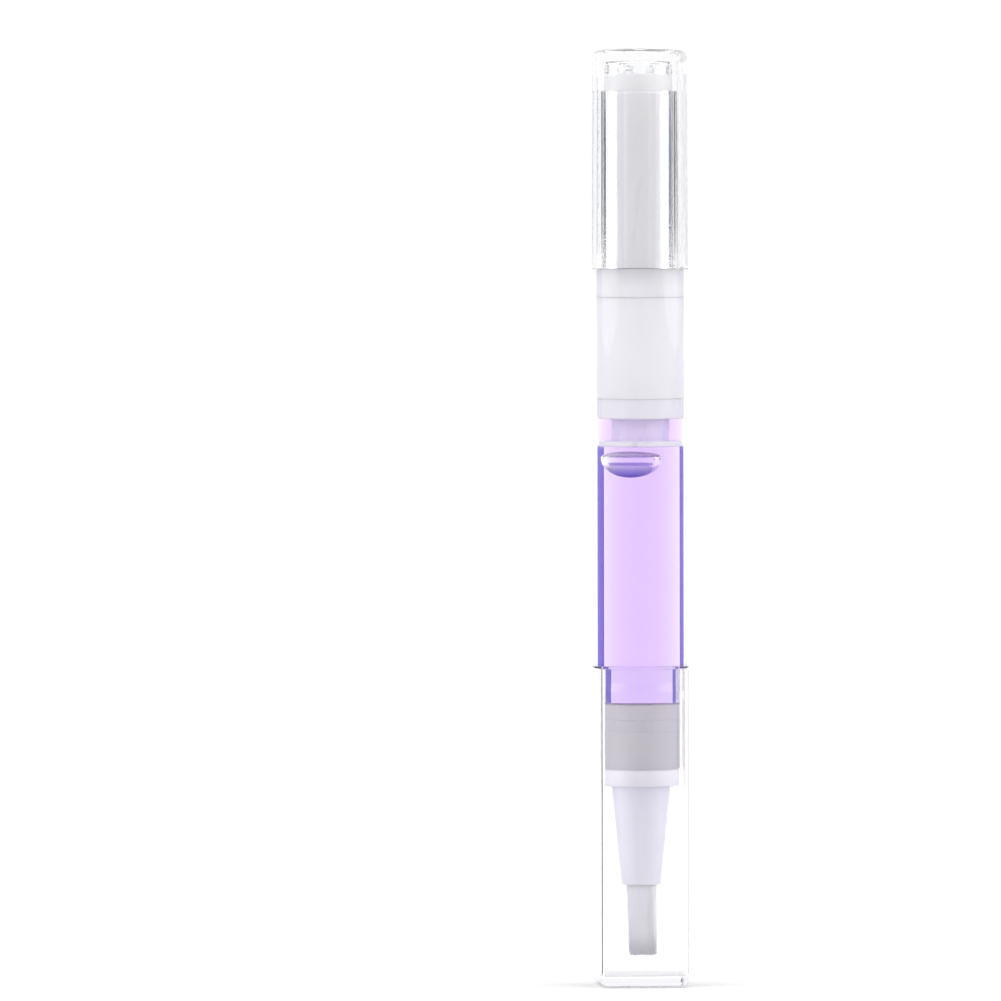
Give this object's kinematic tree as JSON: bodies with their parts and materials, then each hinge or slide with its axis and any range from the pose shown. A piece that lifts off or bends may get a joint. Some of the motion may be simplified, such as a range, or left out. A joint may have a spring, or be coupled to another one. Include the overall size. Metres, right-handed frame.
{
  "type": "twist-up cuticle oil pen",
  "caption": "Clear twist-up pen that holds cuticle oil: square turning knob, round barrel with a screw-driven piston, brush nozzle, and a square push-on cap that it stands on.",
  "frame": {"origin": "centre of the cap's base, where the pen stands", "axes": "+Z along the pen's axis, from the cap up to the knob; +Y away from the viewer, square to the cap's front face"},
  "size_m": [0.0162, 0.0162, 0.1452],
  "materials": {
    "clear_plastic": "clear, polished",
    "frosted_plastic": "translucent, softly frosted",
    "white_plastic": "white, satin",
    "lilac_oil": "clear lilac liquid",
    "white_nylon": "translucent white bristle"
  },
  "bodies": {
    "cap": {"cap": "clear_plastic"},
    "barrel": {"barrel": "clear_plastic", "nozzle": "frosted_plastic", "brush_bristles": "white_nylon", "feed_tube": "white_plastic", "oil_fill": "lilac_oil", "rear_bushing": "frosted_plastic", "ratchet_ring": "frosted_plastic"},
    "knob": {"knob": "clear_plastic", "drive_sleeve": "white_plastic"},
    "rod": {"push_rod": "white_plastic"},
    "piston": {"piston": "white_plastic"}
  },
  "joints": [
    {"name": "cap_pull_off", "type": "slide", "parent": "cap", "child": "barrel", "axis": [0, 0, 1], "range_m": [0, 0.056]},
    {"name": "knob_turn", "type": "hinge", "parent": "barrel", "child": "knob", "pos_m": [0, 0, 0.11125], "axis": [0, 0, -1], "range_deg": [0, 4500]},
    {"name": "rod_advance", "type": "slide", "parent": "knob", "child": "rod", "axis": [0, 0, -1], "range_m": [0, 0.03755]},
    {"name": "piston_advance", "type": "slide", "parent": "barrel", "child": "piston", "axis": [0, 0, -1], "range_m": [0, 0.03755], "deforming": ["oil_fill"]}
  ],
  "couplings": [
    {"joint": "rod_advance", "follows": "knob_turn", "m_per_rad": 0.00047746},
    {"joint": "piston_advance", "follows": "knob_turn", "m_per_rad": 0.00047746}
  ]
}
